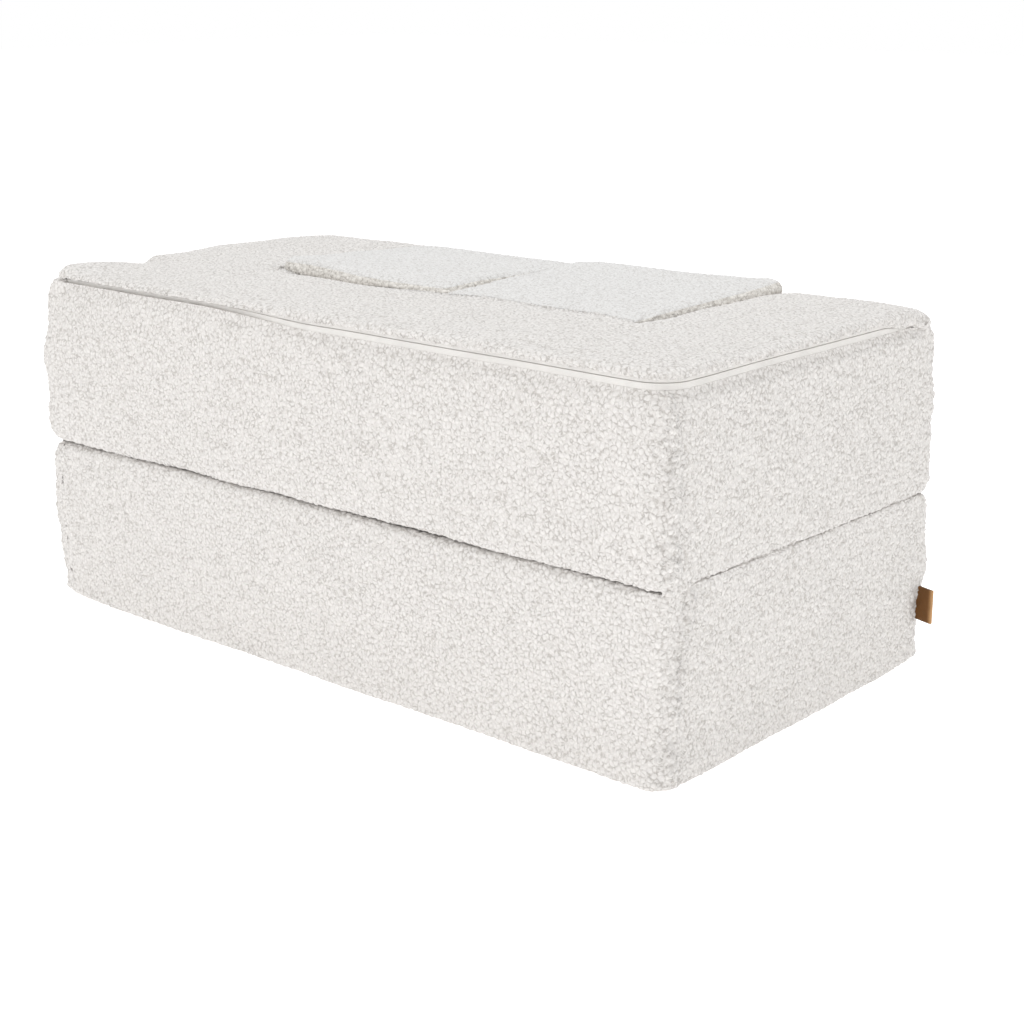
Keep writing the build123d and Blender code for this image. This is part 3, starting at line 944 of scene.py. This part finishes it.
insertLook = {
    "left_insert": {"lean": math.radians(-2.3), "nearPuff": (12 * mm, 20 * mm, 8 * mm),
                    "nearRound": 5 * mm, "drop": (4.5 * mm, 4.5 * mm, 4.5 * mm),
                    "hump": (5.5 * mm, 80 * mm), "humpAt": -0.180, "sag": (1 * mm, 6 * mm), "overhang": 0},
    "right_insert": {"lean": math.radians(2.3), "nearPuff": (0, 0, 0), "nearRound": 0,
                     "drop": (9 * mm, 3 * mm, -3 * mm), "hump": (0, 1), "humpAt": 0,
                     "sag": (0, 0), "overhang": 8 * mm},
    "depth": 250 * mm,
    "height": 188 * mm,
    "round": 9 * mm,
    "nearRoundSpans": (60 * mm, 50 * mm),  # it grows towards the near side and the top
    "crown": 3 * mm,
    "crownReach": 42 * mm,
    "sideInset": 1.6 * mm,  # room for the curls in the cavity
    "wave": 110 * mm,
    "seed": 11,
    "front": 219 * mm,
    "frontReach": 55 * mm,
    "dropFrom": 35 * mm,  # from the right-hand side
    "nearReach": 70 * mm,
    "puffSpan": (0.350, 0.367),  # heights
    "overhangSpan": (0.352, 0.368),
    "overhangTo": 0.18,
    "gain": 0.5,  # the pile lies flatter than on the blocks
}


def dressInsert(body, look):
    own = look[body]
    boxLow, boxHigh = boxOf(body + "_cover_")
    centre = (boxLow + boxHigh) / 2
    high = np.array([(boxHigh[0] - boxLow[0]) / 2, look["depth"] / 2, look["height"] / 2])
    cosLean, sinLean = math.cos(own["lean"]), math.sin(own["lean"])
    turn = np.array([[1, 0, 0], [0, cosLean, -sinLean], [0, sinLean, cosLean]])
    lower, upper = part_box(body + "_zip_lower_tape"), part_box(body + "_zip_upper_tape")
    zipHalf = (upper[1][2] - lower[0][2]) / 2
    zipSide = (upper[1][0] - upper[0][0]) / 2
    sharp, quads, ways = shellOf(gridOf(-high, high, coverLook["step"], (
        (-zipSide, zipSide), (), (-zipHalf, zipHalf))))
    x, y, z = sharp.T
    midX, _, midZ = sharp[quads].mean(1).T
    nearSpan, topSpan = look["nearRoundSpans"]
    radius = look["round"] + own["nearRound"] * smooth(-y, 0, nearSpan) * smooth(z, 0, topSpan)
    points, outward = roundedTo(sharp, [(-high, high)], radius, radius)
    points[:, :2] -= outward[:, :2] * look["sideInset"]
    toEdge = np.minimum(high[0] - np.abs(x), high[1] - np.abs(y))
    points[:, 2] += outward[:, 2] * look["crown"] * smooth(toEdge, 0, look["crownReach"]) * (z > 0)
    points += outward * (coverLook["unevenness"] * lumps(sharp, look["wave"], look["seed"]))[:, None]
    points, outward = points @ turn.T + centre, outward @ turn.T
    # the top falls off to the front, and the raised edges aren't level
    x, y, z = points.T
    onTop = np.clip(outward[:, 2], 0, 1)
    toFront = fade(look["front"] - y, 0, look["frontReach"])
    z -= np.interp(x, (boxLow[0], boxHigh[0] - look["dropFrom"], boxHigh[0]), own["drop"]) * toFront * onTop
    toNear = fade(y - boxLow[1], 0, look["nearReach"])
    z += (hill(own["hump"], x - own["humpAt"])
          - np.interp(x, (boxLow[0], boxHigh[0]), own["sag"])) * toNear * onTop
    y -= np.interp(x, (boxLow[0], centre[0], boxHigh[0]), own["nearPuff"]) * toNear * smooth(
        z, *look["puffSpan"])
    x += own["overhang"] * smooth(y, 0, look["overhangTo"]) * np.clip(outward[:, 0], 0, 1) * smooth(
        z, *look["overhangSpan"])
    points = liftCurls(points, quads, np.full(len(points), look["gain"]))
    points[:, 2] = np.maximum(points[:, 2], boxLow[2])
    zipGap = (ways == "rear") & (np.abs(midX) < zipSide) & (np.abs(midZ) < zipHalf)
    addPanels(points, quads, outward, {
        body + "_cover_top_panel": ways == "top",
        body + "_cover_bottom_panel": ways == "under",
    }, body, insertBoucle)
    band = ~np.isin(ways, ("top", "under")) & ~zipGap
    addPanels(points, quads, outward, {body + "_cover_side_band": band}, body, bandBoucle)
    return turn


# Foam blocks inside the covers

foamLook = {"step": 9 * mm, "round": 5 * mm, "backRound": 40 * mm, "inset": 3 * mm}


def addFoam(node, body, look, turn=None):
    low, high = (np.array(corner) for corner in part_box(node))
    centre = (low + high) / 2
    half = (high - low) / 2 - look["inset"]
    if turn is not None:
        half[1] -= half[2] * abs(turn[2, 1])
        half[2] -= half[1] * abs(turn[2, 1])
    sharp, quads, _ = shellOf(gridOf(-half, half, look["step"]))
    radius = np.full(len(sharp), look["round"])
    corner = np.full(len(sharp), look["backRound"]) if node == "surround_foam_back" else radius
    points, _ = roundedTo(sharp, [(-half, half)], corner, radius)
    points = (points if turn is None else points @ turn.T) + centre
    piece = addPiece(node + "Block", meshFrom(node, points, quads), foamCells)
    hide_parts(node)
    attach(piece, body)


dressBase(baseLook)
print("base dressed")
addFoam("base_foam_core", "base", foamLook)
for foam in ("back", "left_arm", "right_arm"):
    addFoam("surround_foam_" + foam, "surround", foamLook)
for body in ("left_insert", "right_insert"):
    addFoam(body + "_foam_core", body, foamLook, dressInsert(body, insertLook))
print("inserts dressed")


# Fabric hinge strip between the blocks, at the right-hand end

stripLook = {
    "bulge": 2.6 * mm,
    "nearBulge": 7 * mm,
    "nearSpan": (-190 * mm, -172 * mm),
    "across": 10,
    "step": 2.4 * mm,
    "turnAt": 204 * mm,  # there its ends turn round the corners
    "turnRound": 10 * mm,
    "turn": math.radians(50),
    "turnSteps": 7,
    "tuck": 1.2 * mm,  # its edges are sewn in under the covers' edges
}


def addHingeStrip(look):
    low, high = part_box("fold_hinge_strip")
    middle = (low[2] + high[2]) / 2
    half = (high[2] - low[2]) / 2 + look["tuck"]
    # its line seen from above goes straight along the end and a little way round both corners
    centre = low[0] - look["turnRound"]
    turns = np.linspace(0, look["turn"], look["turnSteps"])
    arc = np.stack([np.cos(turns), np.sin(turns)], 1)
    straight = np.arange(-look["turnAt"], look["turnAt"], look["step"])
    ways = np.concatenate([(arc * (1, -1))[::-1], np.tile((1, 0), (len(straight), 1)), arc])
    backs = np.concatenate([np.full(len(arc), -look["turnAt"]), straight,
                            np.full(len(arc), look["turnAt"])])
    rounds = np.linspace(0, math.pi, look["across"] + 1)
    bulges = mix(look["nearBulge"], look["bulge"], smooth(backs, *look["nearSpan"]))
    points = np.array([(centre + (look["turnRound"] + bulge * math.sin(turn)) * way[0],
                        back + (look["turnRound"] + bulge * math.sin(turn)) * way[1],
                        middle - half * math.cos(turn))
                       for way, back, bulge in zip(ways, backs, bulges) for turn in rounds])
    wide = len(rounds)
    quads = np.array([(row + k, row + wide + k, row + wide + k + 1, row + k + 1)
                      for row in range(0, len(points) - wide, wide) for k in range(wide - 1)])
    piece = addPiece("foldHingeStripCloth", meshFrom("foldHingeStrip", liftCurls(points, quads), quads),
                     coverBoucle)
    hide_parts("fold_hinge_strip")
    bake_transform(piece)


addHingeStrip(stripLook)
print("hinge strip made")


# Leather loop tag in the far right-hand seam of the base

tagLook = {
    "root": (0.4175, 0.2135),
    "swing": math.radians(-17),
    "length": 25 * mm,
    "height": 35 * mm,
    "middle": 65.5 * mm,
    "leather": 1.4 * mm,
    "slot": 0.6 * mm,
    "rows": 10,
    "steps": 8,  # along each face, and round the fold
    "bevel": 0.35 * mm,
}


def addTag(look):
    # the loop goes out along one face, round the fold and back along the other
    half = look["slot"] / 2 + look["leather"] / 2
    reach = look["length"] - half
    steps = look["steps"]
    line = [(reach * k / steps, half) for k in range(steps)]
    line += [(reach + half * math.sin(turn), half * math.cos(turn))
             for turn in np.linspace(0, math.pi, steps + 1)]
    line += [(reach * k / steps, -half) for k in reversed(range(steps))]
    line = np.array(line)
    ahead = np.gradient(line, axis=0)
    ahead /= np.linalg.norm(ahead, axis=1)[:, None]
    out = np.stack([-ahead[:, 1], ahead[:, 0]], 1) * look["leather"] / 2
    ring = np.concatenate([line + out, (line - out)[::-1]])
    cosSwing, sinSwing = math.cos(look["swing"]), math.sin(look["swing"])
    heights = look["middle"] + look["height"] * (np.linspace(0, 1, look["rows"]) - 0.5)
    rootX, rootY = look["root"]
    points = np.array([(rootX + a * cosSwing - b * sinSwing, rootY + a * sinSwing + b * cosSwing, z)
                       for z in heights for a, b in ring])
    wide = len(ring)
    rows = range(0, len(points), wide)
    quads = [(low + k, low + (k + 1) % wide, high + (k + 1) % wide, high + k)
             for low, high in zip(rows, rows[1:]) for k in range(wide)]
    for row, order in ((rows[0], 1), (rows[-1], -1)):
        quads += [tuple(row + n for n in (k, wide - 1 - k, wide - 2 - k, k + 1)[::order])
                  for k in range(len(line) - 1)]
    piece = addPiece("leatherLoopTag", meshFrom("leatherLoopTag", points, np.array(quads)), tagLeather)
    rounded = piece.modifiers.new("edges", "BEVEL")
    rounded.width, rounded.segments = look["bevel"], 2
    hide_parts("leather_loop_tag")
    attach(piece, "base")
    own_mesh(piece)


addTag(tagLook)
print("tag made")


# Zips and their sliders keep their CAD shapes

for name, shown in frame["nodes"].items():
    finish = {"tape": zipTapeWeave, "coil": zipCoilNylon, "slider": sliderLacquer}.get(name.split("_")[-1])
    if finish:
        shown.data.materials.clear()
        shown.data.materials.append(finish)
print("zips finished")
